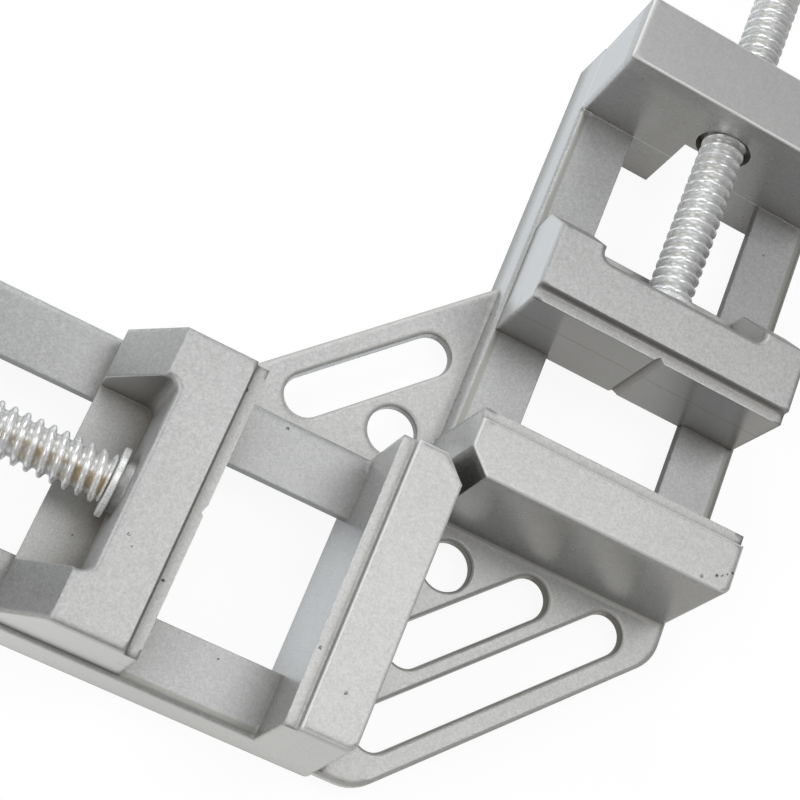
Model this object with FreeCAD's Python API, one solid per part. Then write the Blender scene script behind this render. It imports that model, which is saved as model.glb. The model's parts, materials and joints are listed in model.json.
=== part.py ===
import FreeCAD, Part
import math
import os

# Right-angle corner clamp with two screws: one die-cast body in the shape of an open L, a sliding
# jaw on each arm, and a steel screw with a sliding bar handle behind each jaw.
# Millimetres. +Z is up and the underside of the body lies on z = 0. The planes of the two fixed
# clamping faces cross on the Z axis. The left arm runs along -X, the right arm along +Y, and the
# two arms are mirror images in the plane x + y = 0.

V = FreeCAD.Vector

# Body casting
rail_top = 16.0            # height of the rails' running surface
base_width = 73.0          # width of an arm at the rails' running surface
rail_gap = 40.6            # open gap between the two rails of an arm
wall = 3.5                 # common wall of the casting
side_draft = 2.2           # degrees, on the outer sides
edge_round = 1.4           # round along the rails' outer edges
inner_side = 14.8          # from the corner to the near side of an arm
axis_offset = inner_side + base_width / 2
axis_height = 31.4         # height of the screw's axis

# Jaws
jaw_height = 29.0          # above the rails
jaw_thick = 16.5           # fixed jaw, across the top
jaw_end = 15.2             # from the corner to the inner end of a fixed jaw
jaw_end_chamfer = 5.7
back_draft = 2.8           # degrees, on the back of a fixed jaw
ledge_width = 3.2          # rebate along the top of each clamping face
ledge_depth = 2.6
corner_round = 2.2         # outer back corner of a fixed jaw, in plan
soft_edge = 0.8            # round along the top edges

# End bracket that carries the nut
bracket_front = 101.0      # from the corner
bracket_length = 20.2
bracket_height = 31.6      # above the rails
bracket_draft = 0.5        # degrees
notch_width = 16.8         # slot under the screw
notch_top = 24.9
nut_bore_d = 15.2

# Web that ties the arms together
web_top = 8.7
web_thick = 3.2
web_outer = 31.8           # y - x along the outer edge
web_inner = 116.0          # x - y along the inner edge
web_corner_r = 11.0
web_round = 1.2
foot_round = 1.2           # in the corner between the web and the castings that rise from it
rim_round = 0.9            # round on the upper rims of the holes and slots
web_hole_d = 12.8
outer_hole_at = 2.9        # along x and -y from the corner
inner_hole_at = 28.6
slot_r = 5.8
outer_slot = (-15.8, 17.3)     # x - y of its centre line, and half the length between its end centres
inner_slot_short = (77.9, 16.8)
inner_slot_long = (99.8, 32.1)
slot_draft = 8.0           # degrees

# Moving jaw
slide_gap = 0.08           # clearance of the jaw and its keeper on the rails
moving_inset = 1.0         # each side of the moving jaw stands in from the rails' sides
moving_width = base_width - 2 * moving_inset
moving_wall = 16.7         # front wall, across the top
wing_top = 20.0            # flat top of the side wings, from the clamping face
moving_length = 31.5
wing_rear_height = 10.0    # height of the wings at their rear end, above the rails
wing_width = 12.3
floor_thick = 3.5
recess_draft = 3.0         # degrees
recess_round = 1.6         # along the top of the recess wall
recess_corner = 2.5        # in the recess corners
boss_width = 26.0          # solid middle of the front wall
groove_width = 3.0         # upright V in the middle of the clamping face
groove_depth = 1.3
opening_left = 33.8        # distance between the clamping faces at rest
opening_right = 31.3

# Screw and its fittings
screw_d = 12.0             # outer size of the thread, whose lead is 3
screw_lead = 3.0
run_fit = 0.05             # radial clearance of the turning fits
journal_d = 9.0
journal_length = 11.0
groove_at = 6.0            # retaining groove, from the recess wall
groove_d = 7.0
pin_d = 2.0
washer_d = 16.6
washer_thick = 1.5
seat_d = 13.0              # boss on the recess wall that the washer turns against
seat_height = 2.5
nut_recess = 3.0           # from the bracket's front face to the nut
nut_flange_d = 21.0
nut_flange_thick = 2.0
closed_reach = 3.0         # from the nut to the hub with the jaw closed

# Keeper under the rails
keeper_thick = 3.0
keeper_length = 23.0
keeper_setback = 5.0       # from the clamping face
keeper_side_gap = 2.0
keeper_screw_d = 4.0
keeper_head_d = 7.6
keeper_head_thick = 2.6
keeper_pitch_x = 15.0
keeper_pitch_y = 18.0
keeper_screw_grip = 4.6    # thread length in the jaw

# Handle
hub_d = 17.0
hub_length = 25.0
hub_socket = 12.0
hub_round = 1.5
spindle_end_d = 10.0
hub_pin_d = 3.0
bar_d = 8.0
bar_at = 18.0              # from the hub's inner end to the bar's axis
bar_length = 92.0
cap_d = 12.0
cap_length = 11.0
cap_wall = 1.6
cap_dome = 3.6             # round of the cap's outer end
bar_step = 0.5             # how far the bar is turned down under its caps


def tan(degrees):
    return math.tan(math.radians(degrees))


def offset_outline(points, shifts):
    """Move each side of a counter-clockwise outline outwards by its own distance."""
    lines = []
    count = len(points)
    for i in range(count):
        x0, y0 = points[i]
        x1, y1 = points[(i + 1) % count]
        length = math.hypot(x1 - x0, y1 - y0)
        nx = (y1 - y0) / length
        ny = (x0 - x1) / length
        lines.append((nx, ny, nx * x0 + ny * y0 + shifts[i]))
    moved = []
    for i in range(count):
        a0, b0, c0 = lines[i - 1]
        a1, b1, c1 = lines[i]
        det = a0 * b1 - a1 * b0
        moved.append(((c0 * b1 - c1 * b0) / det, (a0 * c1 - a1 * c0) / det))
    return moved


def solid_between(lower, upper, z_low, z_high):
    """Solid with flat sides between two outlines that have as many points."""
    low = [V(x, y, z_low) for x, y in lower]
    high = [V(x, y, z_high) for x, y in upper]
    faces = [
        Part.Face(Part.makePolygon(low[::-1] + low[-1:])),
        Part.Face(Part.makePolygon(high + high[:1])),
    ]
    for i in range(len(low)):
        j = (i + 1) % len(low)
        faces.append(Part.Face(Part.makePolygon([low[i], low[j], high[j], high[i], low[i]])))
    return Part.Solid(Part.makeShell(faces))


def drafted_prism(outline, z_low, z_high, drafts, z_true):
    """Prism whose outline is exact at z_true and whose sides lean in towards +Z."""
    lower = offset_outline(outline, [(z_true - z_low) * tan(d) for d in drafts])
    upper = offset_outline(outline, [(z_true - z_high) * tan(d) for d in drafts])
    return solid_between(lower, upper, z_low, z_high)


def block(x0, x1, y0, y1, z0, z1):
    return Part.makeBox(x1 - x0, y1 - y0, z1 - z0, V(x0, y0, z0))


def pocket(x0, x1, y0, y1, depth_top):
    """Core pulled downwards out of the underside, slightly narrower at its top."""
    return drafted_prism([(x0, y0), (x1, y0), (x1, y1), (x0, y1)], -1.0, depth_top, [1.0] * 4, 0.0)


def rod(x_from, x_to, diameter, y=None, z=None):
    """Round bar along X on the left arm's axis, from x_from down to x_to."""
    y = -axis_offset if y is None else y
    z = axis_height if z is None else z
    return Part.makeCylinder(diameter / 2, x_from - x_to, V(x_from, y, z), V(-1, 0, 0))


def right_arm(shape):
    return shape.mirror(V(0, 0, 0), V(1, 1, 0))


def edges_near(shape, test):
    return [edge for edge in shape.Edges if test(edge.BoundBox)]


def arm_side(sign, z):
    """y of the left arm's outer (-1) or inner (+1) side at a height."""
    return -axis_offset + sign * (base_width / 2 + (rail_top - z) * tan(side_draft))


def rails():
    """Both rails of the left arm as one bar with rounded upper edges."""
    low, high = arm_side(-1, rail_top), arm_side(1, rail_top)
    outline = [(-bracket_front, low), (wall / 2, low), (wall / 2, high), (-bracket_front, high)]
    bar = drafted_prism(outline, 0.0, rail_top, [side_draft, 0, side_draft, 0], rail_top)
    long_edges = edges_near(bar, lambda b: b.ZMin > rail_top - 0.01 and b.XLength > bracket_front)
    return bar.makeFillet(edge_round, long_edges)


def fixed_jaw():
    """Fixed jaw of the left arm, with its foot reaching down to the underside."""
    top = rail_top + jaw_height
    outer = arm_side(-1, top)
    chamfer = jaw_end_chamfer
    outline = [
        (0, outer),
        (jaw_thick, outer),
        (jaw_thick, -jaw_end - chamfer),
        (jaw_thick - chamfer, -jaw_end),
        (0, -jaw_end),
    ]
    drafts = [side_draft, back_draft, back_draft, side_draft, 0]
    jaw = drafted_prism(outline, 0.0, top, drafts, top)
    back_corner = edges_near(jaw, lambda b: b.ZLength > jaw_height and b.XMin > jaw_thick - 0.1
                             and b.YMax < outer + 0.1)
    jaw = jaw.makeFillet(corner_round, back_corner)
    rebate = block(-1, ledge_width, outer - 10, 0, top - ledge_depth, top + 1)
    jaw = jaw.cut(rebate)
    inner_corner = edges_near(jaw, lambda b: abs(b.XMin - ledge_width) < 0.01 and b.XLength < 0.01
                              and b.ZMax < top - ledge_depth + 0.01 and b.YLength > 10)
    jaw = jaw.makeFillet(soft_edge, inner_corner)
    rims = edges_near(jaw, lambda b: b.ZMin > top - 0.01)
    jaw = jaw.makeFillet(soft_edge, rims)
    return jaw


def bracket():
    """End bracket of the left arm: a lower part flush with the rails' sides, and the upright."""
    front, rear = -bracket_front, -bracket_front - bracket_length
    low, high = arm_side(-1, rail_top), arm_side(1, rail_top)
    outline = [(rear, low), (front, low), (front, high), (rear, high)]
    foot = drafted_prism(outline, 0.0, rail_top, [side_draft, 0, side_draft, bracket_draft], rail_top)
    top = rail_top + bracket_height
    upright = drafted_prism(outline, rail_top, top, [bracket_draft] * 4, rail_top)
    rims = edges_near(upright, lambda b: b.ZMin > top - 0.01)
    corners = edges_near(upright, lambda b: b.ZLength > bracket_height - 1)
    return foot.fuse(upright.makeFillet(soft_edge, rims + corners))


def bracket_cuts():
    """Slot under the screw, bore for the nut and the two pockets of the left bracket."""
    front, rear = -bracket_front, -bracket_front - bracket_length
    half = notch_width / 2
    slot = block(rear - 5, front + 1, -axis_offset - half, -axis_offset + half, -1, notch_top)
    bore = rod(front + 1, rear - 5, nut_bore_d)
    cuts = [slot, bore]
    for sign in (-1, 1):
        inner = -axis_offset + sign * (half + wall)
        outer = -axis_offset + sign * (base_width / 2 - wall)
        cuts.append(pocket(rear + wall, front - wall, min(inner, outer), max(inner, outer),
                           rail_top + bracket_height - wall))
    return cuts


def rail_cuts():
    """Gap between the rails of the left arm and the hollow under their flanges."""
    half = rail_gap / 2
    gap = block(-bracket_front, 0, -axis_offset - half, -axis_offset + half, -1, rail_top + 1)
    inner = base_width / 2 - wall
    hollow = block(-bracket_front, 0, -axis_offset - inner, -axis_offset + inner, -1, rail_top - wall)
    return [gap, hollow]


def jaw_cuts():
    """Three pockets in the underside of the left fixed jaw, with ribs between them."""
    start = arm_side(-1, 0) + wall + 1.0
    end = -jaw_end - jaw_end_chamfer - 1.0
    pitch = (end - start + wall) / 3
    roof = rail_top + jaw_height - wall
    cuts = []
    for i in range(3):
        low = start + i * pitch
        cuts.append(pocket(wall, jaw_thick - wall + 1.0, low, low + pitch - wall, roof))
    return cuts


def diagonal_slot(along, half_length):
    """Round-ended slot across the diagonal, wider at its upper edge."""
    mid = along / 2
    step = half_length / math.sqrt(2)
    z_low, z_high = web_top - web_thick - 0.5, web_top + 0.5
    r_low = slot_r - web_thick * tan(slot_draft)
    ends = [V(mid - step, -mid - step, z_low), V(mid + step, -mid + step, z_low)]
    parts = [Part.makeCone(r_low, slot_r + 0.5 * tan(slot_draft), z_high - z_low, end) for end in ends]
    side = 1 / math.sqrt(2)
    outlines = []
    for r in (r_low, slot_r + 0.5 * tan(slot_draft)):
        dx = r * side
        outlines.append([
            (ends[0].x + dx, ends[0].y - dx),
            (ends[1].x + dx, ends[1].y - dx),
            (ends[1].x - dx, ends[1].y + dx),
            (ends[0].x - dx, ends[0].y + dx),
        ])
    middle = solid_between(outlines[0], outlines[1], z_low, z_high)
    return parts[0].fuse([parts[1], middle])


def web():
    """Plate between the arms, with its holes and slots."""
    inside = axis_offset - base_width / 2 + wall
    outer = -arm_side(-1, web_top - web_thick)
    outline = [
        (-web_outer - inside, -inside),
        (wall, -inside),
        (wall, -outer),
        (web_inner - outer, -outer),
        (outer, outer - web_inner),
        (outer, -wall),
        (inside, -wall),
        (inside, web_outer + inside),
    ]
    low, high = web_top - web_thick, web_top
    drafts = [0, 0, side_draft, side_draft, side_draft, 0, 0, side_draft]
    plate = drafted_prism(outline, low, high, drafts, low)
    corners = edges_near(plate, lambda b: b.ZLength > 1 and b.XLength < 1
                         and b.XMax - b.YMin > web_inner - 1)
    plate = plate.makeFillet(web_corner_r, corners)
    centre = 2 * inside
    rims = edges_near(plate, lambda b: b.ZMin > high - 0.01 and (
        b.XMin + b.XMax - b.YMin - b.YMax > 2 * web_inner - 2 * centre
        or b.YMax - b.XMin > web_outer + centre))
    plate = plate.makeFillet(web_round, rims)
    return plate


def web_cuts():
    cuts = [diagonal_slot(*outer_slot), diagonal_slot(*inner_slot_short), diagonal_slot(*inner_slot_long)]
    for at in (outer_hole_at, inner_hole_at):
        cuts.append(Part.makeCylinder(web_hole_d / 2, web_thick + 2, V(at, -at, web_top - web_thick - 1)))
    return cuts


def pierced_web():
    """Web with its openings, whose upper rims are rounded."""
    plate = web()
    before = set(edge_key(edge) for edge in plate.Edges)
    plate = plate.cut(web_cuts())
    rims = [edge for edge in plate.Edges
            if edge.BoundBox.ZMin > web_top - 0.01 and edge_key(edge) not in before]
    return plate.makeFillet(rim_round, rims)


def jaw_foot():
    """Hollow round in the corner between the web and the back of the left fixed jaw."""
    x = jaw_thick + (rail_top + jaw_height - web_top) * tan(back_draft)
    y = arm_side(-1, web_top) + web_round
    r = foot_round
    slope = r * tan(back_draft)
    near = r * (1 - math.sqrt(0.5))
    start = V(x + r, y, web_top)
    middle = V(x + near, y, web_top + near)
    end = V(x - slope, y, web_top + r)
    inside = V(x - 1, y, web_top + r)
    below = V(x - 1, y, web_top - 1)
    under = V(x + r, y, web_top - 1)
    edges = [
        Part.Arc(start, middle, end).toShape(),
        Part.makeLine(end, inside),
        Part.makeLine(inside, below),
        Part.makeLine(below, under),
        Part.makeLine(under, start),
    ]
    length = -jaw_end - jaw_end_chamfer - y - r
    return Part.Face(Part.Wire(edges)).extrude(V(0, length, 0))


def edge_key(edge):
    middle = edge.CenterOfMass
    return round(middle.x, 2), round(middle.y, 2), round(middle.z, 2)


def body_casting():
    left = rails().fuse([fixed_jaw(), bracket()]).cut(rail_cuts() + bracket_cuts())
    pockets = jaw_cuts()
    pockets += [right_arm(cut) for cut in pockets]
    foot = jaw_foot()
    return left.fuse([right_arm(left), pierced_web(), foot, right_arm(foot)]).cut(pockets).removeSplitter()


def moving_jaw(opening):
    """Left moving jaw: front wall, two wings with sloping tops, floor and the tongue between the rails."""
    face = -opening
    low = rail_top + slide_gap
    top = rail_top + jaw_height
    side = [
        (face, low),
        (face, top),
        (face - wing_top, top),
        (face - moving_length, rail_top + wing_rear_height),
        (face - moving_length, low),
    ]
    points = [V(x, -axis_offset - moving_width / 2, z) for x, z in side]
    jaw = Part.Face(Part.makePolygon(points + points[:1])).extrude(V(0, moving_width, 0))
    half = moving_width / 2 - wing_width
    wall_back = face - moving_wall
    floor = rail_top + floor_thick
    recess = drafted_prism(
        [(face - 2 * moving_length, -axis_offset - half), (wall_back, -axis_offset - half),
         (wall_back, -axis_offset + half), (face - 2 * moving_length, -axis_offset + half)],
        floor, top + 1, [-1.0, -recess_draft, -1.0, 0], top)
    corners = edges_near(recess, lambda b: b.ZLength > 1 and b.XMax > wall_back - 5)
    jaw = jaw.cut(recess.makeFillet(recess_corner, corners))
    rebate = block(face - ledge_width, face + 1, -axis_offset - moving_width, -axis_offset + moving_width,
                   top - ledge_depth, top + 1)
    jaw = jaw.cut(rebate)
    wall_rim = edges_near(jaw, lambda b: b.ZMin > top - 0.01 and abs(b.XMin - wall_back) < 0.05
                          and b.XLength < 0.01)
    jaw = jaw.makeFillet(recess_round, wall_rim)
    inner_corner = edges_near(jaw, lambda b: abs(b.XMax - face + ledge_width) < 0.01 and b.XLength < 0.01
                              and abs(b.ZMax - top + ledge_depth) < 0.01 and b.YLength > 10)
    jaw = jaw.makeFillet(soft_edge, inner_corner)
    rims = edges_near(jaw, lambda b: b.ZMin > top - 0.01 and abs(b.YMax + axis_offset) > half + 1)
    jaw = jaw.makeFillet(soft_edge / 2, rims)
    tongue_half = rail_gap / 2 - 2 * slide_gap
    tongue = block(face - moving_length, face, -axis_offset - tongue_half, -axis_offset + tongue_half,
                   rail_top - wall - slide_gap, low + 1)
    lip = edges_near(tongue, lambda b: b.XMin > face - 0.01 and b.ZMax < low and b.YLength > 10)
    jaw = jaw.fuse(tongue.makeChamfer(wall / 2, lip))
    groove = [
        V(face + 0.1, -axis_offset - groove_width / 2, 0),
        V(face + 0.1, -axis_offset + groove_width / 2, 0),
        V(face - groove_depth, -axis_offset, 0),
    ]
    jaw = jaw.cut(Part.Face(Part.makePolygon(groove + groove[:1])).extrude(V(0, 0, top + 1)))
    boss = boss_width / 2
    for sign in (-1, 1):
        near = -axis_offset + sign * boss
        far = -axis_offset + sign * (moving_width / 2 - wall)
        core = drafted_prism(
            [(wall_back + wall, min(near, far)), (face - wall, min(near, far)),
             (face - wall, max(near, far)), (wall_back + wall, max(near, far))],
            0.0, top - wall, [1.0] * 4, rail_top)
        jaw = jaw.cut(core)
    jaw = jaw.fuse(rod(wall_back + 1, wall_back - seat_height, seat_d))
    bore = rod(wall_back + journal_length + 1, wall_back - seat_height - 1, journal_d + 2 * run_fit)
    jaw = jaw.cut([bore, pin_hole(opening)])
    foot = rail_top - wall - slide_gap
    for x, y in keeper_places(opening):
        jaw = jaw.cut(Part.makeCylinder(keeper_screw_d / 2, keeper_screw_grip, V(x, y, foot)))
    return jaw.removeSplitter()


def pin_place(opening):
    x = -opening - moving_wall + groove_at
    y = -axis_offset + groove_d / 2 + pin_d / 2 + run_fit
    return x, y


def pin_hole(opening):
    x, y = pin_place(opening)
    return Part.makeCylinder(pin_d / 2, axis_height + journal_d / 2, V(x, y, 0))


def retaining_pin(opening):
    """Dowel that holds the screw's journal in the left jaw by its groove."""
    x, y = pin_place(opening)
    bottom = rail_top - wall - slide_gap
    return Part.makeCylinder(pin_d / 2, axis_height + journal_d / 2 - bottom, V(x, y, bottom))


def keeper_places(opening):
    middle = -opening - keeper_setback - keeper_length / 2
    places = []
    for sx in (-1, 1):
        for sy in (-1, 1):
            places.append((middle + sx * keeper_pitch_x / 2, -axis_offset + sy * keeper_pitch_y / 2))
    return places


def keeper_plate(opening):
    """Steel plate screwed under the left jaw, which grips the rails from below."""
    top = rail_top - wall - slide_gap
    half = base_width / 2 - wall - keeper_side_gap
    front = -opening - keeper_setback
    plate = block(front - keeper_length, front, -axis_offset - half, -axis_offset + half,
                  top - keeper_thick, top)
    corners = edges_near(plate, lambda b: b.ZLength > 1)
    plate = plate.makeFillet(keeper_side_gap, corners)
    for x, y in keeper_places(opening):
        hole = Part.makeCylinder(keeper_screw_d / 2 + 0.2, keeper_thick + 2, V(x, y, top - keeper_thick - 1))
        plate = plate.cut(hole)
    return plate


def keeper_screws(opening):
    """Four pan-head screws that hold the left keeper."""
    seat = rail_top - wall - slide_gap - keeper_thick
    screws = []
    for x, y in keeper_places(opening):
        shank = Part.makeCylinder(keeper_screw_d / 2, keeper_thick + keeper_screw_grip, V(x, y, seat))
        head = Part.makeCylinder(keeper_head_d / 2, keeper_head_thick, V(x, y, seat - keeper_head_thick))
        rim = edges_near(head, lambda b: b.ZMax < seat - keeper_head_thick + 0.01)
        screws.append(shank.fuse(head.makeFillet(keeper_head_thick / 2, rim)))
    return Part.makeCompound(screws)


def hub_start(opening):
    """x of the hub's inner end on the left arm."""
    return -bracket_front - bracket_length - nut_flange_thick - closed_reach - opening


def spindle(opening):
    """Screw of the left arm: journal with its groove, threaded length and plain outer end."""
    back = -opening - moving_wall
    shoulder = back - seat_height - washer_thick - slide_gap
    x = pin_place(opening)[0]
    profile = [
        (back + journal_length, 0),
        (back + journal_length, journal_d / 2 - 0.5),
        (back + journal_length - 0.5, journal_d / 2),
        (x + pin_d / 2 + slide_gap, journal_d / 2),
        (x + pin_d / 2 + slide_gap, groove_d / 2),
        (x - pin_d / 2 - slide_gap, groove_d / 2),
        (x - pin_d / 2 - slide_gap, journal_d / 2),
        (shoulder, journal_d / 2),
        (shoulder, screw_d / 2 - 1.0),
        (shoulder - 1.0, screw_d / 2),
        (hub_start(opening) + 1.0, screw_d / 2),
        (hub_start(opening), spindle_end_d / 2),
        (hub_start(opening) - hub_socket + 0.5, spindle_end_d / 2),
        (hub_start(opening) - hub_socket, spindle_end_d / 2 - 0.5),
        (hub_start(opening) - hub_socket, 0),
    ]
    points = [V(px, -axis_offset, axis_height + r) for px, r in profile]
    face = Part.Face(Part.makePolygon(points + points[:1]))
    turned = face.revolve(V(0, -axis_offset, axis_height), V(1, 0, 0), 360)
    return turned.cut(hub_pin(opening))


def thrust_washer(opening):
    front = -opening - moving_wall - seat_height
    ring = rod(front, front - washer_thick, washer_d)
    ring = ring.makeChamfer(0.25, edges_near(ring, lambda b: b.XLength < 0.01))
    return ring.cut(rod(front + 1, front - washer_thick - 1, journal_d + 4 * run_fit))


def spindle_nut():
    """Flanged steel bush pressed into the left bracket from behind."""
    front = -bracket_front - nut_recess
    rear = -bracket_front - bracket_length
    bush = rod(front, rear, nut_bore_d)
    flange = rod(rear, rear - nut_flange_thick, nut_flange_d)
    nut = bush.fuse(flange).cut(rod(front + 1, rear - 5, screw_d + 2 * run_fit))
    rim = edges_near(nut, lambda b: b.XMax < rear - nut_flange_thick + 0.01 and b.YLength > screw_d + 2)
    return nut.makeChamfer(0.5, rim)


def handle_hub(opening):
    """Turned hub pinned on the left screw's outer end, with the cross hole for the bar."""
    start = hub_start(opening)
    hub = rod(start, start - hub_length, hub_d)
    hub = hub.makeFillet(hub_round, edges_near(hub, lambda b: b.XLength < 0.01))
    socket = rod(start + 1, start - hub_socket, spindle_end_d)
    cross = Part.makeCylinder(bar_d / 2 + run_fit, hub_d + 2,
                              V(start - bar_at, -axis_offset - hub_d / 2 - 1, axis_height), V(0, 1, 0))
    return hub.cut([socket, cross, hub_pin(opening)])


def hub_pin(opening):
    x = hub_start(opening) - hub_socket / 2
    return Part.makeCylinder(hub_pin_d / 2, hub_d - 0.6, V(x, -axis_offset, axis_height - hub_d / 2 + 0.3))


def bar_seat_d():
    return bar_d - 2 * bar_step


def tommy_bar(opening):
    """Sliding bar of the left handle, stepped down at its ends for the caps."""
    x = hub_start(opening) - bar_at
    full = bar_length - 2 * cap_length
    length = bar_length - 2 * cap_wall
    bar = Part.makeCylinder(bar_d / 2, full, V(x, -axis_offset - full / 2, axis_height), V(0, 1, 0))
    core = Part.makeCylinder(bar_seat_d() / 2, length, V(x, -axis_offset - length / 2, axis_height), V(0, 1, 0))
    return bar.fuse(core)


def bar_cap(opening, sign):
    """Domed cap pressed on one end of the left bar: -1 outer end, +1 the end nearer the other arm."""
    x = hub_start(opening) - bar_at
    outward = V(0, sign, 0)
    start = V(x, -axis_offset + sign * (bar_length / 2 - cap_length), axis_height)
    cap = Part.makeCylinder(cap_d / 2, cap_length, start, outward)
    tip = edges_near(cap, lambda b: b.YLength < 0.01 and abs(b.YMax - start.y) > cap_length - 0.1)
    cap = cap.makeFillet(cap_dome, tip)
    mouth = edges_near(cap, lambda b: b.YLength < 0.01 and abs(b.YMax - start.y) < 0.1)
    cap = cap.makeChamfer(cap_wall / 2, mouth)
    return cap.cut(Part.makeCylinder(bar_seat_d() / 2, cap_length - cap_wall, start, outward))


def arm_pieces(opening):
    """Loose pieces of the left arm by name."""
    return {
        "moving_jaw": moving_jaw(opening),
        "spindle": spindle(opening),
        "spindle_nut": spindle_nut(),
        "thrust_washer": thrust_washer(opening),
        "retaining_pin": retaining_pin(opening),
        "keeper_plate": keeper_plate(opening),
        "keeper_screws": keeper_screws(opening),
        "handle_hub": handle_hub(opening),
        "hub_pin": hub_pin(opening),
        "tommy_bar": tommy_bar(opening),
        "bar_cap_outer": bar_cap(opening, -1),
        "bar_cap_inner": bar_cap(opening, 1),
    }


def main():
    os.makedirs("parts", exist_ok=True)
    nodes = {"body_casting": body_casting()}
    for name, shape in arm_pieces(opening_left).items():
        nodes[name + "_left"] = shape
    for name, shape in arm_pieces(opening_right).items():
        nodes[name + "_right"] = right_arm(shape)
    for name, shape in nodes.items():
        shape.exportStep("parts/%s.step" % name)
        print(name, len(shape.Solids), round(shape.Volume), shape.isValid())


main()
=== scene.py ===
import json
import math

import bmesh
import bpy
from mathutils import Matrix, Vector


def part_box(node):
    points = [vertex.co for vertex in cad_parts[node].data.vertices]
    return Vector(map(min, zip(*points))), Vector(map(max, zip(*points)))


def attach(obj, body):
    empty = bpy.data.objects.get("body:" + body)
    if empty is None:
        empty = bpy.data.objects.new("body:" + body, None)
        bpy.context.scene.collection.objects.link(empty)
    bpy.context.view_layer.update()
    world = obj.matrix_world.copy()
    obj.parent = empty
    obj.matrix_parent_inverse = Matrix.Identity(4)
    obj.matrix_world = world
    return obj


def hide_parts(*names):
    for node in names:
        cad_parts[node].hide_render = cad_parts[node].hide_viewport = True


# Looks of the corner clamp: die-cast aluminium body and jaws, zinc-plated screws with rolled threads,
# turned hubs, sliding bars with moulded caps. Metres; +Z up; the clamping corner is on the Z axis.

MM = 0.001

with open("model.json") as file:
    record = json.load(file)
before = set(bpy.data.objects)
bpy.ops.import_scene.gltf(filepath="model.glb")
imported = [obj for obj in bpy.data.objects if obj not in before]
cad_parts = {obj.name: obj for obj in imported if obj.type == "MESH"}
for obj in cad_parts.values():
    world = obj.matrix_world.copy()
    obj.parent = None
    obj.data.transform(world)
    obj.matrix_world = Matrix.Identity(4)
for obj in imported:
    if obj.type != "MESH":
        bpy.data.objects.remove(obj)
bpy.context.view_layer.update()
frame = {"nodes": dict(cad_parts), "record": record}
nodes = frame["nodes"]

# Sizes that the looks share with the solids
LEAD = 3.0 * MM
SCREW_R = 6.0 * MM
THREAD_DEPTH = 1.45 * MM
HEAD_DIAMETER = 7.6 * MM        # of the keepers' screws
HEAD_HEIGHT = 2.6 * MM
RAIL_TOP = 16.0 * MM
WEB_TOP = 8.7 * MM
WEB_EDGE = 86.0 * MM            # from the clamping corner, along an arm, to the end of the web
JAW_TOP = 45.0 * MM
LEDGE_TOP = 42.4 * MM
AXIS_OFFSET = 51.3 * MM         # from the clamping corner to the middle of each arm
AXIS_HEIGHT = 31.4 * MM
HALF_WIDTH = 36.5 * MM          # of an arm
HALF_GAP = 20.3 * MM            # from the middle of an arm to the inner sides of its rails
INNER_SIDE = AXIS_OFFSET - HALF_WIDTH
RECESS_WALL = 50.0 * MM         # from the clamping corner to the inside wall of a moving jaw's recess


class Signal:
    """One output of a node, with arithmetic that adds Math nodes."""

    def __init__(self, writer, socket):
        self.writer = writer
        self.socket = socket

    def math(self, operation, *values):
        return self.writer.math(operation, *values)

    def __add__(self, other):
        return self.math("ADD", self, other)

    __radd__ = __add__

    def __sub__(self, other):
        return self.math("SUBTRACT", self, other)

    def __rsub__(self, other):
        return self.math("SUBTRACT", other, self)

    def __mul__(self, other):
        return self.math("MULTIPLY", self, other)

    __rmul__ = __mul__

    def __truediv__(self, other):
        return self.math("DIVIDE", self, other)

    def __rtruediv__(self, other):
        return self.math("DIVIDE", other, self)

    def __pow__(self, other):
        return self.math("POWER", self, other)

    def __neg__(self):
        return 0.0 - self

    def __abs__(self):
        return self.math("ABSOLUTE", self)

    def lesser(self, other):
        return self.math("MINIMUM", self, other)

    def greater(self, other):
        return self.math("MAXIMUM", self, other)

    def ramp(self, low, high, start=0.0, end=1.0):
        """Smooth step from start to end as the signal goes from low to high."""
        return self.writer.add("ShaderNodeMapRange", {"interpolation_type": "SMOOTHSTEP"},
                               [self, low, high, start, end])

    def below(self, low, high):
        """1 up to low, 0 from high on."""
        return self.ramp(low, high, 1.0, 0.0)

    def band(self, middle, inner, outer):
        """1 within inner of a middle value, 0 beyond outer."""
        return abs(self - middle).below(inner, outer)


class NodeWriter:
    """Writes nodes into a tree."""

    def __init__(self, tree):
        self.tree = tree

    def add(self, kind, settings, inputs, output=0):
        """Output of a new node with these settings and these values or links on its sockets."""
        made = self.tree.nodes.new(kind)
        for key, value in settings.items():
            setattr(made, key, value)
        pairs = inputs.items() if isinstance(inputs, dict) else enumerate(inputs)
        for key, value in pairs:
            if isinstance(value, Signal):
                self.tree.links.new(value.socket, made.inputs[key])
            else:
                made.inputs[key].default_value = value
        return Signal(self, made.outputs[output])

    def math(self, operation, *values):
        return self.add("ShaderNodeMath", {"operation": operation}, list(values))

    def parts(self, vector):
        node = self.add("ShaderNodeSeparateXYZ", {}, [vector]).socket.node
        return [Signal(self, output) for output in node.outputs]


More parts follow.
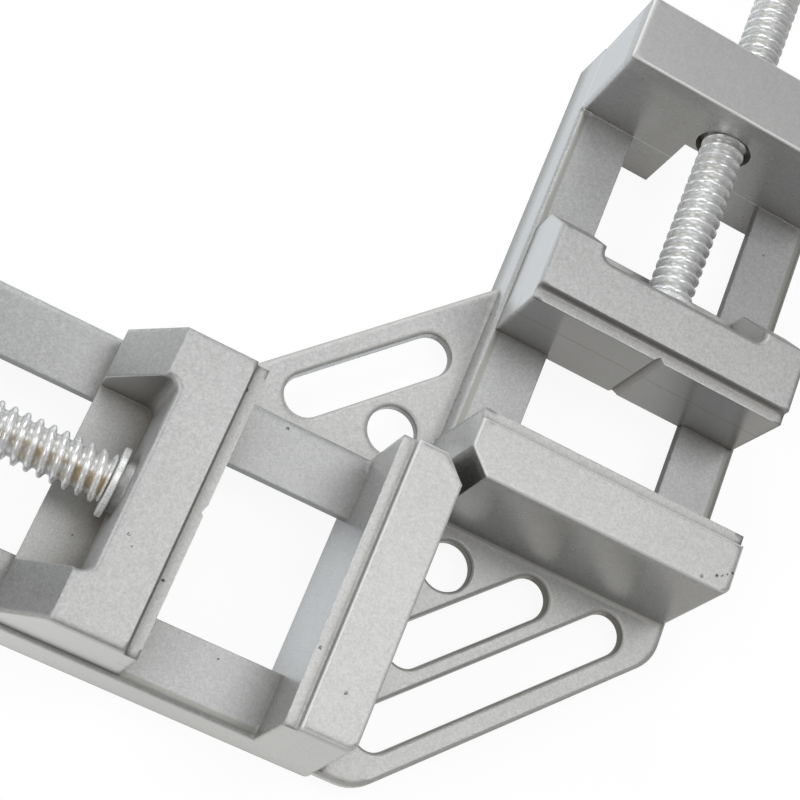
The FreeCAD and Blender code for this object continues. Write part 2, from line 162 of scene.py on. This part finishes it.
class Paint(NodeWriter):
    """A material being mixed from its nodes."""

    def __init__(self, name, metallic, roughness, colour):
        self.material = bpy.data.materials.new(name)
        self.material.use_nodes = True
        super().__init__(self.material.node_tree)
        self.shader = self.tree.nodes["Principled BSDF"]
        self.shader.inputs["Metallic"].default_value = metallic
        self.shader.inputs["Roughness"].default_value = roughness
        self.shader.inputs["Base Color"].default_value = (*colour, 1)
        self.place = self.add("ShaderNodeTexCoord", {}, {}, "Object")

    def noise(self, scale, detail=2.0, roughness=0.6):
        return self.add("ShaderNodeTexNoise", {"noise_dimensions": "3D"},
                        {"Vector": self.place, "Scale": scale, "Detail": detail, "Roughness": roughness})

    def mix(self, share, first, second):
        return self.add("ShaderNodeMix", {"data_type": "RGBA", "clamp_factor": True},
                        {0: share, 6: self.colour(first), 7: self.colour(second)}, 2)

    @staticmethod
    def colour(value):
        return value if isinstance(value, Signal) else (*value, 1)

    def dot(self, first, second):
        return self.add("ShaderNodeVectorMath", {"operation": "DOT_PRODUCT"}, [first, second], "Value")

    def openness(self, distance, samples):
        """1 where nothing is near, falling to 0 in corners."""
        return self.add("ShaderNodeAmbientOcclusion", {"samples": samples}, {"Distance": distance}, "AO")

    def near(self, points, radius):
        """1 inside small balls around points given in millimetres, fading to 0 outside."""
        total = None
        for point in points:
            far = self.add("ShaderNodeVectorMath", {"operation": "DISTANCE"},
                           [self.place, [c * MM for c in point]], "Value")
            spot = far.below(0.6 * radius, 1.2 * radius)
            total = spot if total is None else total.greater(spot)
        return total

    def soft_edges(self, radius):
        return self.add("ShaderNodeBevel", {"samples": 6}, {"Radius": radius})

    def bump(self, height, distance, strength, normal=None):
        inputs = {"Strength": strength, "Distance": distance, "Height": height}
        if normal is not None:
            inputs["Normal"] = normal
        return self.add("ShaderNodeBump", {}, inputs)

    def feed(self, name, signal):
        self.tree.links.new(signal.socket, self.shader.inputs[name])


class CastPaint(Paint):
    """Blasted die casting, with masks for the places of the clamp where it looks different.

    across is the distance from the middle of the arm, and along the distance from the clamping corner.
    """

    def __init__(self, name, tone, is_body):
        super().__init__(name, 0.9, 0.47, (tone, tone, tone))
        self.tone = tone
        self.is_body = is_body
        self.x, self.y, self.z = self.parts(self.place)
        self.flat = self.add("ShaderNodeNewGeometry", {}, {}, "True Normal")
        self.lean_x, self.lean_y, self.lean_z = self.parts(self.flat)
        self.right_arm = (self.x + self.y).ramp(-0.2 * MM, 0.2 * MM)
        self.across = self.by_arm(abs(self.y + AXIS_OFFSET), abs(self.x - AXIS_OFFSET))
        self.along = (-self.x).greater(self.y)
        self.outside = self.across.ramp(HALF_WIDTH - 3.9 * MM, HALF_WIDTH - 2.9 * MM)
        self.far_edge = (1 - self.right_arm) * (self.y + AXIS_OFFSET).ramp(0.0, 1.0 * MM)
        self.high_up = self.z.ramp(RAIL_TOP + 1.0 * MM, RAIL_TOP + 8.0 * MM)
        self.recess_wall = 0.0
        if not is_body:
            self.recess_wall = (self.along.band(RECESS_WALL, 2.0 * MM, 3.5 * MM)
                                * self.across.below(21.5 * MM, 23.0 * MM) * self.z.ramp(20.0 * MM, 25.0 * MM))
        steep = abs(self.lean_z).below(0.2, 0.5)
        self.upright = (steep * (1 - self.recess_wall)
                        * self.z.ramp(LEDGE_TOP - 0.4 * MM, LEDGE_TOP + 0.2 * MM, 1.0, 0.2))
        above_jaws = self.z.ramp(JAW_TOP + 0.5 * MM, JAW_TOP + 1.5 * MM)
        self.blasted = (1 - self.upright * 0.65) * (1 - above_jaws * 0.5)
        self.grit = self.noise(1900)
        self.grain = self.noise(740)
        self.corner = self.openness(2.2 * MM, 6)

    def by_arm(self, left, right):
        return left * (1 - self.right_arm) + right * self.right_arm

    def toned(self, *levels):
        return [self.tone * level for level in levels]

    def blasting(self):
        """Speckled grey, a little darker on the rails' running surfaces, with a painted shade band along their
        outer edges.
        """
        cloud = self.noise(70, 3.0, 0.55)
        speckle = (self.grit - 0.5) * 1.45 + (self.grain - 0.5) * 0.75
        level = 0.5 + speckle * self.blasted + (cloud - 0.5) * 0.22
        colour = self.mix(level, self.toned(0.77, 0.77, 0.76), self.toned(1.19, 1.19, 1.18))
        if self.is_body:
            # The rails' running surfaces are a little darker than the rest of the casting.
            running = self.z.band(RAIL_TOP, 0.1 * MM, 0.4 * MM) * self.lean_z.ramp(0.9, 0.99)
            rail_top_tone = self.mix(level, self.toned(0.71, 0.71, 0.71), self.toned(1.09, 1.09, 1.10))
            colour = self.mix(running, colour, rail_top_tone)
            # Painted shade: an olive band along the outer edges of the rail tops, standing in for the shade on
            # their rounding; left out on the +Y side of the left arm.
            painted_rim_shade = self.across.ramp(HALF_WIDTH - 2.8 * MM, HALF_WIDTH - 2.2 * MM) * running * (1 - self.far_edge)
            colour = self.mix(painted_rim_shade * 0.85, colour, self.toned(0.64, 0.635, 0.59))
        return colour

    def paint_shade(self, colour):
        """Painted shade in corners, recesses and beside the ledges' steps, and darker painted shade on the
        walls of the web's openings and of the gap between the rails.
        """
        # Painted shade: the casting is darkened where corners and recesses close it in and next to the steps of
        # the ledges, less on the recess walls.
        around = self.openness(14.0 * MM, 8)
        ledge = self.z.band(LEDGE_TOP, 0.2 * MM, 0.5 * MM)
        depth = 0.8 if self.is_body else 1.05
        painted_shade = ((1 - around) ** 1.5 * depth + (1 - self.corner) * (0.32 + ledge * 0.42)).lesser(0.88)
        if self.is_body:
            between = (self.x.greater(self.y + INNER_SIDE).ramp(0.2 * MM, 0.6 * MM)
                       * (-self.y).greater(INNER_SIDE - self.x).ramp(0.2 * MM, 0.6 * MM)
                       * self.x.greater(-self.y).below(WEB_EDGE - 0.5 * MM, WEB_EDGE + 0.5 * MM))
            web_flat = self.z.band(WEB_TOP, 0.1 * MM, 0.3 * MM) * self.lean_z.ramp(0.9, 0.98)
            # Painted shade on the walls of the web's openings, weaker on walls facing +X and -Y; the corner
            # shade is eased there, on the web's top and at its foot.
            web_wall = ((WEB_TOP - self.z).ramp(0.1 * MM, 0.5 * MM) * abs(self.lean_z).below(0.4, 0.6) * between
                        * (self.lean_x - self.lean_y).ramp(0.9, 1.35, 1.0, 0.15))
            web_foot = (self.z.band(WEB_TOP + 0.6 * MM, 0.5 * MM, 0.7 * MM)
                        * self.lean_z.ramp(0.25, 0.4) * self.lean_z.below(0.85, 0.95))
            painted_shade = (painted_shade * (1 - web_flat * 0.45) * (1 - web_foot * 0.8) * (1 - web_wall)
                     * (1 - self.upright * 0.35))
            colour = self.mix(web_wall * 0.8, colour, [0.16, 0.155, 0.14])
            crosswise = self.by_arm(abs(self.lean_y), abs(self.lean_x))
            # Painted shade on the inner walls of the gap between the rails.
            gap_wall = (self.across.band(HALF_GAP, 0.2 * MM, 0.5 * MM) * crosswise.ramp(0.8, 0.9)
                        * self.z.below(RAIL_TOP - 0.6 * MM, RAIL_TOP - 0.1 * MM))
            colour = self.mix(gap_wall * 0.75, colour, [0.12, 0.12, 0.115])
        return self.mix(painted_shade * (1 - self.recess_wall * 0.75), colour, [0.145, 0.126, 0.098])

    def paint_edge_wear_and_light(self, colour, edge, ridge):
        """Edges lighter on the jaws and brackets as wear and painted highlight, darker along the rails as
        painted shade.
        """
        # Edges high up lighter as wear and painted highlight, low edges darker as painted shade; the rails'
        # outer edges darker as painted shade, lighter as painted highlight on the +Y side of the left arm.
        edge_wear_and_light = self.mix(self.high_up, self.toned(0.42, 0.42, 0.37), [0.90, 0.90, 0.88])
        edge_wear_and_light = self.mix(self.outside, edge_wear_and_light, self.toned(0.80, 0.80, 0.74))
        edge_wear_and_light = self.mix(self.outside * self.far_edge, edge_wear_and_light, [0.85, 0.85, 0.84])
        return self.mix(ridge * (0.9 - self.high_up * 0.15), colour, edge_wear_and_light)

    def pits(self, points):
        """Rare specks everywhere, and the marks that the photograph shows."""
        speck = self.add("ShaderNodeTexVoronoi", {"feature": "F1"}, {"Vector": self.place, "Scale": 140.0},
                         "Distance")
        rare = self.noise(55, 1.0, 0.5).ramp(0.60, 0.66)
        marks = self.near(points, 0.45 * MM) * self.noise(1500, 2.0, 0.7).ramp(0.42, 0.52)
        return (speck.below(0.02, 0.05) * rare).greater(marks)


def cast_paint(name, tone, is_body, points, seam, seam_share):
    """Blasted casting with painted light and shade on its edges and roundings, partly also wear, pits and a
    parting line at a height.

    seam_share is a ramp along the arm; the line is raised, with a painted highlight, where it is positive, and
    sunken, with painted shade, where it is negative.
    """
    paint = CastPaint(name, tone, is_body)
    colour = paint.paint_shade(paint.blasting())
    rounded = paint.soft_edges(0.55 * MM + paint.outside * (1.5 * MM))
    edge = paint.dot(rounded, paint.flat).below(0.80, 0.985) * paint.noise(420).ramp(0.35, 0.6)
    ridge = edge * paint.corner.ramp(0.5, 0.8)
    colour = paint.paint_edge_wear_and_light(colour, edge, ridge)

    # Painted highlight along the top rounding of the body's jaws, fainter painted shade along that of the
    # moving jaws, and painted highlight along the rounding at the web's foot.
    rounding = paint.lean_z.ramp(0.40, 0.65) * paint.lean_z.below(0.96, 0.99)
    painted_top_fillet = rounding * paint.z.ramp(JAW_TOP - 0.8 * MM, JAW_TOP - 0.6 * MM)
    painted_foot_fillet = rounding * paint.z.band(WEB_TOP + 0.2 * MM, 0.8 * MM, 1.0 * MM)
    painted_top_fillet_tone = [0.92, 0.92, 0.90]
    if not is_body:
        painted_top_fillet = painted_top_fillet * 0.3
        painted_top_fillet_tone = [0.30, 0.30, 0.285]
    colour = paint.mix(painted_top_fillet * 0.7, colour, painted_top_fillet_tone)
    colour = paint.mix(painted_foot_fillet * 0.6, colour, [0.66, 0.65, 0.61])

    dark = paint.pits(points)
    colour = paint.mix(dark * 0.8, colour, [0.10, 0.10, 0.095])
    # Parting line: a painted highlight where it is raised, painted shade where it is sunken.
    line = paint.z.band(seam, 0.10 * MM, 0.34 * MM)
    line = line * abs(paint.lean_z).below(0.25, 0.35) * paint.along.ramp(*seam_share)
    colour = paint.mix(line * 0.85, colour, [0.92, 0.92, 0.90])
    colour = paint.mix(line * -0.8, colour, [0.25, 0.245, 0.22])

    # Edges with wear and painted highlight, and the roundings with painted light, are made less metallic.
    wear_and_painted_light = (ridge * paint.high_up * (1 - paint.outside)).greater(painted_top_fillet.greater(painted_foot_fillet))
    polish = 0.22 if is_body else 0.28
    height = (paint.grit * 0.6 + paint.grain * 0.4) * paint.blasted - dark * 1.5 + line * 2.0
    crisp = paint.add("ShaderNodeMix", {"data_type": "VECTOR"},
                      {0: 0.65 - paint.outside * 0.5, 4: rounded, 5: paint.flat}, 1)
    paint.feed("Base Color", colour)
    paint.feed("Metallic", 0.9 - wear_and_painted_light * 0.6)
    paint.feed("Roughness", 0.50 - paint.upright * polish + (paint.grain - 0.5) * paint.blasted * 0.14
               - edge * 0.06 + dark * 0.2)
    paint.feed("Normal", paint.bump(height, 0.035 * MM, 0.7, crisp))
    return paint.material


def plated_paint(name, tone, stain, roughness, metallic=1.0):
    """Zinc-plated or bare steel with a warm stain in places."""
    paint = Paint(name, metallic, roughness, tone)
    fine = paint.noise(2200)
    shade = paint.mix(paint.noise(120, 3.0).ramp(0.3, 0.7), [c * 0.86 for c in tone],
                      [min(1.0, c * 1.06) for c in tone])
    stained = paint.noise(260, 3.0, 0.65).ramp(0.52, 0.72)
    paint.feed("Base Color", paint.mix(stained * 0.5, shade, stain))
    paint.feed("Roughness", roughness + (fine - 0.5) * 0.26)
    paint.feed("Normal", paint.bump(fine, 0.012 * MM, 0.8, paint.soft_edges(0.25 * MM)))
    return paint.material


def thread_paint(name, axis, centre, tint_share):
    """Bright-plated rolled thread along X or Y: crests painted nearly white as a highlight, roots painted
    greyer as shade, with a brown tint.
    """
    paint = Paint(name, 0.5, 0.3, (0.9, 0.9, 0.9))
    place = paint.parts(paint.place)
    across = place[1 - axis] - centre
    up = place[2] - AXIS_HEIGHT
    radius = (across * across + up * up) ** 0.5
    # Painted highlight on the crests and painted shade in the roots, where the brown tint also sits.
    crest = radius.ramp(SCREW_R - THREAD_DEPTH, SCREW_R - 0.25 * THREAD_DEPTH)
    band = ((up * 0.78 - across * 0.63) / radius).ramp(0.80, 0.97)
    tint = paint.noise(95, 3.0).ramp(0.30, 0.50) * (band * 0.85 + 0.15) * tint_share
    low = paint.mix(tint, [0.76, 0.7676, 0.7676], [0.46, 0.36, 0.20])
    high = paint.mix(paint.noise(420), [0.88, 0.89, 0.89], [1.0, 1.0, 1.0])
    fine = paint.noise(1500)
    paint.feed("Base Color", paint.mix(crest, low, high))
    paint.feed("Roughness", 0.34 - crest * 0.08 + (fine - 0.5) * 0.10)
    paint.feed("Normal", paint.bump(fine, 0.006 * MM, 0.7))
    return paint.material


def cap_paint(name):
    """Moulded cap with a fine spark-eroded texture."""
    paint = Paint(name, 0.0, 0.5, (0.025, 0.025, 0.026))
    fine = paint.noise(3200)
    cloud = paint.noise(150, 2.0, 0.5)
    paint.feed("Base Color", paint.mix(cloud, [0.018, 0.018, 0.019], [0.040, 0.040, 0.041]))
    paint.feed("Roughness", 0.42 + fine * 0.2)
    paint.feed("Normal", paint.bump(fine, 0.02 * MM, 0.7, paint.soft_edges(0.3 * MM)))
    return paint.material


def dress(name, material):
    node = nodes[name]
    node.data.materials.clear()
    node.data.materials.append(material)


class Growth(NodeWriter):
    """A Geometry Nodes tree being written."""

    def __init__(self, name):
        super().__init__(bpy.data.node_groups.new(name, "GeometryNodeTree"))
        self.tree.interface.new_socket("Geometry", in_out="OUTPUT", socket_type="NodeSocketGeometry")
        self.source = self.tree.nodes.new("NodeGroupInput")
        self.result = self.tree.nodes.new("NodeGroupOutput")
        self.keys = {}

    def size(self, name, value, kind="NodeSocketFloat"):
        """Named input of the tree."""
        socket = self.tree.interface.new_socket(name, in_out="INPUT", socket_type=kind)
        socket.default_value = value
        self.keys[name] = socket.identifier
        return Signal(self, next(s for s in self.source.outputs if s.identifier == socket.identifier))

    def vector(self, x, y, z):
        return self.add("ShaderNodeCombineXYZ", {}, [x, y, z])

    def join(self, *pieces):
        made = self.tree.nodes.new("GeometryNodeJoinGeometry")
        for piece in reversed(pieces):
            self.tree.links.new(piece.socket, made.inputs[0])
        return Signal(self, made.outputs[0])

    def finish(self, geometry, material):
        solid = self.add("GeometryNodeRealizeInstances", {}, [geometry])
        painted = self.add("GeometryNodeSetMaterial", {}, {"Geometry": solid, "Material": material})
        self.tree.links.new(painted.socket, self.result.inputs[0])

    def grow(self, name, sizes):
        """Plain mesh object that the tree makes with these sizes."""
        carrier = bpy.data.objects.new(name, bpy.data.meshes.new(name + "_seed"))
        bpy.context.scene.collection.objects.link(carrier)
        modifier = carrier.modifiers.new("grow", "NODES")
        modifier.node_group = self.tree
        for key, value in sizes.items():
            modifier[self.keys[key]] = value
        seen = carrier.evaluated_get(bpy.context.evaluated_depsgraph_get())
        mesh = bpy.data.meshes.new_from_object(seen)
        while mesh.materials[0] is None:
            mesh.materials.pop(index=0)
        carrier.modifiers.remove(modifier)
        carrier.data = mesh
        return carrier


def thread_tree():
    """Turned spindle along +Z: journal with groove, right-hand round thread and plain outer end."""
    grow = Growth("rolled_spindle")
    length = grow.size("Length", 0.13)
    screw_r = grow.size("Screw radius", SCREW_R)
    journal_r = grow.size("Journal radius", 4.5 * MM)
    end_r = grow.size("End radius", 5.0 * MM)
    shoulder = grow.size("Shoulder", 15.08 * MM)
    end = grow.size("Outer end", 0.12)
    groove = grow.size("Groove", 5.0 * MM)
    groove_r = grow.size("Groove radius", 3.5 * MM)
    lead = grow.size("Lead", LEAD)
    depth = grow.size("Thread depth", THREAD_DEPTH)
    steps = grow.size("Steps", 520, "NodeSocketInt")
    paint = grow.size("Finish", None, "NodeSocketMaterial")
    tube = grow.add("GeometryNodeMeshCylinder", {"fill_type": "TRIANGLE_FAN"},
                    {"Vertices": 64, "Side Segments": steps, "Radius": 1.0, "Depth": length})
    x, y, z = grow.parts(grow.add("GeometryNodeInputPosition", {}, {}))
    along = z + length / 2
    turn = grow.math("ARCTAN2", y, x) / (2 * math.pi)
    wave = grow.math("COSINE", (along / lead - turn) * (2 * math.pi)) * 0.5 + 0.5
    crest = wave.ramp(0.15, 0.95)
    runout = along.ramp(shoulder + 0.1 * MM, shoulder + 1.3 * MM) * along.below(end - 3.0 * MM, end - 0.5 * MM)
    cut = depth * (1 - crest) * runout
    step_up = along.ramp(shoulder - 0.05 * MM, shoulder + 0.7 * MM)
    step_down = along.ramp(end - 0.4 * MM, end + 0.1 * MM)
    in_groove = along.band(groove, 0.95 * MM, 1.15 * MM)
    bevel = 0.5 * MM
    tips = along.ramp(0.0, bevel, bevel, 0.0) + along.ramp(length - bevel, length, 0.0, bevel)
    radius = journal_r + (screw_r - journal_r) * step_up - (screw_r - end_r) * step_down
    radius = radius - (journal_r - groove_r) * in_groove - cut - tips
    moved = grow.vector(x * radius, y * radius, z)
    grow.finish(grow.add("GeometryNodeSetPosition", {}, {"Geometry": tube, "Position": moved}), paint)
    return grow


def pan_head_tree():
    """Four pan-head screws with cross recesses, heads down."""
    grow = Growth("pan_heads")
    head_r = grow.size("Head radius", HEAD_DIAMETER / 2)
    head_h = grow.size("Head height", HEAD_HEIGHT)
    shank_r = grow.size("Shank radius", 2.0 * MM)
    shank_l = grow.size("Shank length", 7.6 * MM)
    pitch_x = grow.size("Pitch x", 15.0 * MM)
    pitch_y = grow.size("Pitch y", 18.0 * MM)
    paint = grow.size("Finish", None, "NodeSocketMaterial")
    dome = grow.add("GeometryNodeMeshCylinder", {"fill_type": "TRIANGLE_FAN"},
                    {"Vertices": 32, "Side Segments": 10, "Fill Segments": 8, "Radius": 1.0, "Depth": head_h})
    x, y, z = grow.parts(grow.add("GeometryNodeInputPosition", {}, {}))
    down = 0.5 - z / head_h
    bulge = (1 - down * down * down * 0.42) * head_r
    spread = (x * x + y * y) ** 0.5
    sag = (1 - spread * spread) * down.ramp(0.9, 1.0) * (head_h * 0.16)
    domed = grow.vector(x * bulge, y * bulge, z - head_h / 2 - sag)
    dome = grow.add("GeometryNodeSetPosition", {}, {"Geometry": dome, "Position": domed})
    tool = None
    for turn in (0.0, math.pi / 2):
        bar = grow.add("GeometryNodeMeshCube", {}, [grow.vector(head_r * 1.05, head_r * 0.27, head_h * 1.3)])
        bar = grow.add("GeometryNodeTransform", {}, {"Geometry": bar, "Rotation": (0, 0, turn),
                                                     "Translation": grow.vector(0.0, 0.0, head_h * -1.25)})
        tool = bar if tool is None else grow.join(tool, bar)
    head = grow.add("GeometryNodeMeshBoolean", {"operation": "DIFFERENCE"}, {0: dome, 1: tool})
    shank = grow.add("GeometryNodeMeshCylinder", {"fill_type": "TRIANGLE_FAN"},
                     {"Vertices": 24, "Radius": shank_r, "Depth": shank_l})
    shank = grow.add("GeometryNodeTransform", {},
                     {"Geometry": shank, "Translation": grow.vector(0.0, 0.0, shank_l / 2)})
    grid = grow.add("GeometryNodeMeshGrid", {},
                    {"Size X": pitch_x, "Size Y": pitch_y, "Vertices X": 2, "Vertices Y": 2})
    turned = grow.add("FunctionNodeRandomValue", {"data_type": "FLOAT"},
                      {"Min": 0.0, "Max": 1.5, "Seed": 4}, 1)
    placed = grow.add("GeometryNodeInstanceOnPoints", {},
                      {"Points": grid, "Instance": grow.join(head, shank),
                       "Rotation": grow.vector(0.0, 0.0, turned)})
    grow.finish(placed, paint)
    return grow


def settle(piece, matrix, crease):
    """Put a grown piece where it belongs, with smooth faces and sharp edges past an angle."""
    piece.data.transform(matrix)
    for face in piece.data.polygons:
        face.use_smooth = True
    piece.data.set_sharp_from_angle(angle=math.radians(crease))


# Marks that the photograph shows on the castings, in millimetres
BODY_PITS = [(9.5, -75.6, 45.0), (1.0, -68.2, 42.4), (78.7, -15.0, 45.0), (82.3, -13.2, 45.0),
             (83.5, -12.5, 45.0), (84.6, -11.8, 45.0), (85.9, -10.9, 45.0), (-21.9, -17.1, 15.9)]
JAW_PITS = [(-46.6, -63.7, 45.0), (-55.2, -20.2, 45.0), (-36.6, -22.3, 42.6), (-35.9, -69.1, 42.6),
            (-50.8, -69.4, 40.0), (-50.8, -70.1, 39.0), (-50.7, -68.8, 40.8)]

finish_of = {
    "cast_body": cast_paint("cast_body", 0.585, True, BODY_PITS, RAIL_TOP + 0.15 * MM,
                            (98.0 * MM, 99.5 * MM, 0.0, 1.0)),
    "cast_jaw": cast_paint("cast_jaw", 0.56, False, JAW_PITS, 30.5 * MM, (36.0 * MM, 37.0 * MM, -0.5, 0.0)),
    "nut": plated_paint("nut", (0.42, 0.41, 0.39), (0.30, 0.25, 0.17), 0.42),
    "washer": plated_paint("washer", (0.95, 0.95, 0.94), (0.86, 0.85, 0.80), 0.30, 0.35),
    "pin": plated_paint("pin", (0.50, 0.50, 0.50), (0.34, 0.30, 0.24), 0.35),
    "keeper": plated_paint("keeper", (0.60, 0.60, 0.59), (0.47, 0.43, 0.34), 0.42),
    "keeper_screw": plated_paint("keeper_screw", (0.70, 0.70, 0.69), (0.52, 0.46, 0.34), 0.34),
    "hub": plated_paint("hub", (0.66, 0.66, 0.65), (0.50, 0.45, 0.36), 0.33),
    "hub_pin": plated_paint("hub_pin", (0.50, 0.50, 0.50), (0.34, 0.30, 0.24), 0.35),
    "bar": plated_paint("bar", (0.74, 0.74, 0.73), (0.56, 0.50, 0.40), 0.24),
    "cap": cap_paint("cap"),
}

for entry in frame["record"]["subparts"]:
    if entry["material_slot"] in finish_of:
        dress(entry["node"], finish_of[entry["material_slot"]])

# Screws with their threads: the left one runs out along -X, the right one along +Y
spindles = thread_tree()
for side, axis, sign, tint_share in (("left", 0, -1, 0.9), ("right", 1, 1, 0.2)):
    node = "spindle_" + side
    low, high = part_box(node)
    length = high[axis] - low[axis]
    screw = spindles.grow("threaded_" + side, {
        "Length": length,
        "Outer end": length - 12.0 * MM,
        "Finish": thread_paint("thread_" + side, axis, sign * AXIS_OFFSET, tint_share),
    })
    outward = Vector((0, 0, 0))
    outward[axis] = sign
    turn = Vector((0, 0, 1)).rotation_difference(outward).to_matrix().to_4x4()
    settle(screw, Matrix.Translation((low + high) / 2) @ turn, 40)
    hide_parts(node)
    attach(screw, "screw_" + side)

# Keeper screws with their cross recesses
heads = pan_head_tree()
for side in ("left", "right"):
    node = "keeper_screws_" + side
    low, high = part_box(node)
    seat = low.z + HEAD_HEIGHT
    screws = heads.grow("pan_screws_" + side, {
        "Pitch x": high.x - low.x - HEAD_DIAMETER,
        "Pitch y": high.y - low.y - HEAD_DIAMETER,
        "Shank length": high.z - seat,
        "Finish": finish_of["keeper_screw"],
    })
    settle(screws, Matrix.Translation(((low.x + high.x) / 2, (low.y + high.y) / 2, seat)), 35)
    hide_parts(node)
    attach(screws, "jaw_" + side)


def pale_floor():
    """White table that keeps a faint shadow.

    The camera sees it white; for the castings' reflections it glows, with painted shade that changes with the
    place and a painted shadow near the clamp.
    """
    mesh = bpy.data.meshes.new("floor")
    shape = bmesh.new()
    bmesh.ops.create_grid(shape, x_segments=1, y_segments=1, size=6.0)
    shape.to_mesh(mesh)
    shape.free()
    table = bpy.data.objects.new("floor", mesh)
    bpy.context.scene.collection.objects.link(table)
    table.data.transform(Matrix.Translation((0, 0, -0.05 * MM)))
    paint = Paint("white_table", 0.0, 0.9, (0.86, 0.86, 0.86))
    camera_ray = paint.add("ShaderNodeLightPath", {}, {}, "Is Camera Ray")
    glossy_ray = paint.add("ShaderNodeLightPath", {}, {}, "Is Glossy Ray")
    x, y, _ = paint.parts(paint.place)
    # Painted shade in the floor as the castings mirror it: darker past x = 12-40 mm, darker in front of the
    # left arm towards the corner, and darker far to the left.
    between_arms = paint.mix(x.ramp(0.012, 0.040), [0.85, 0.88, 0.91], [0.42, 0.415, 0.40])
    before_left_arm = paint.mix(x.ramp(-0.11, -0.02), [0.97, 0.975, 0.97], [0.74, 0.74, 0.725])
    sheet = paint.mix(y.below(-0.0875, -0.084), between_arms, before_left_arm)
    sheet = paint.mix(x.ramp(-0.16, -0.10, 0.85, 0.0), sheet, [0.64, 0.64, 0.63])
    sheet = paint.mix(camera_ray, sheet, [1.0, 1.0, 1.0])
    glow = paint.add("ShaderNodeEmission", {}, {"Color": sheet, "Strength": 1.07})
    # Painted shadow in reflections: near the clamp less of the glow and more of the lit table shows.
    mirrored = glossy_ray * paint.openness(0.07, 6).ramp(0.06, 0.28, 0.10, 0.97)
    plain = Signal(paint, paint.shader.outputs[0])
    both = paint.add("ShaderNodeMixShader", {}, {0: (camera_ray * 0.86).greater(mirrored), 1: plain, 2: glow})
    paint.tree.links.new(both.socket, paint.tree.nodes["Material Output"].inputs["Surface"])
    mesh.materials.append(paint.material)


def studio():
    """Soft white surroundings, brighter above and on the left, and white where the camera looks past."""
    world = bpy.data.worlds.new("studio")
    bpy.context.scene.world = world
    world.use_nodes = True
    sky = NodeWriter(world.node_tree)
    direction = sky.add("ShaderNodeTexCoord", {}, {}, "Generated")
    bright_side = Vector((-0.62, 0.40, 0.68)).normalized()
    toward = sky.add("ShaderNodeVectorMath", {"operation": "DOT_PRODUCT"}, [direction, bright_side], "Value")
    level = sky.add("ShaderNodeMapRange", {}, [toward, -0.6, 0.9, 0.19, 0.22])
    camera_ray = sky.add("ShaderNodeLightPath", {}, {}, "Is Camera Ray")
    strength = sky.add("ShaderNodeMix", {}, {0: camera_ray, 2: level, 3: 1.0})
    back = sky.tree.nodes["Background"]
    back.inputs["Color"].default_value = (1, 1, 1, 1)
    sky.tree.links.new(strength.socket, back.inputs["Strength"])


def soft_lamp(name, place, power, colour):
    """Square lamp of 0.45 m that faces the clamp."""
    data = bpy.data.lights.new(name, "AREA")
    data.shape = "RECTANGLE"
    data.size = data.size_y = 0.45
    data.energy = power
    data.color = colour
    lamp = bpy.data.objects.new(name, data)
    lamp.location = place
    lamp.rotation_euler = (Vector((0, 0, 0.02)) - Vector(place)).to_track_quat("-Z", "Y").to_euler()
    bpy.context.scene.collection.objects.link(lamp)


def photo_camera():
    """Camera above the left arm's outer side, as the photograph was taken."""
    data = bpy.data.cameras.new("camera")
    data.sensor_width = 36.0
    data.lens = 78.16
    data.shift_x = -0.1539
    data.shift_y = 0.0753
    data.clip_start = 0.01
    camera = bpy.data.objects.new("camera", data)
    right = Vector((0.87043203, 0.33774732, 0.35815475))
    down = Vector((0.43367753, -0.87036819, -0.23320166))
    ahead = Vector((0.23296327, 0.35830986, -0.90406978))
    turn = Matrix((right, -down, -ahead)).transposed().to_4x4()
    camera.matrix_world = Matrix.Translation((-0.06631, -0.15322, 0.40919)) @ turn
    bpy.context.scene.collection.objects.link(camera)
    bpy.context.scene.camera = camera


pale_floor()
studio()
soft_lamp("above", (0.0, 0.0, 1.0), 0.8, (1.0, 1.0, 0.99))
soft_lamp("overhead", (0.28, 0.17, 0.94), 1.75, (1.0, 1.0, 1.0))
soft_lamp("left", (-0.80, 0.10, 0.60), 2.0, (0.92, 0.965, 1.0))
soft_lamp("back", (-0.30, 0.75, 0.60), 2.6, (0.97, 0.99, 1.0))
soft_lamp("front_left", (-0.65, -0.50, 0.57), 2.1, (1.0, 0.99, 0.97))
photo_camera()
bpy.context.scene.view_settings.view_transform = "Standard"
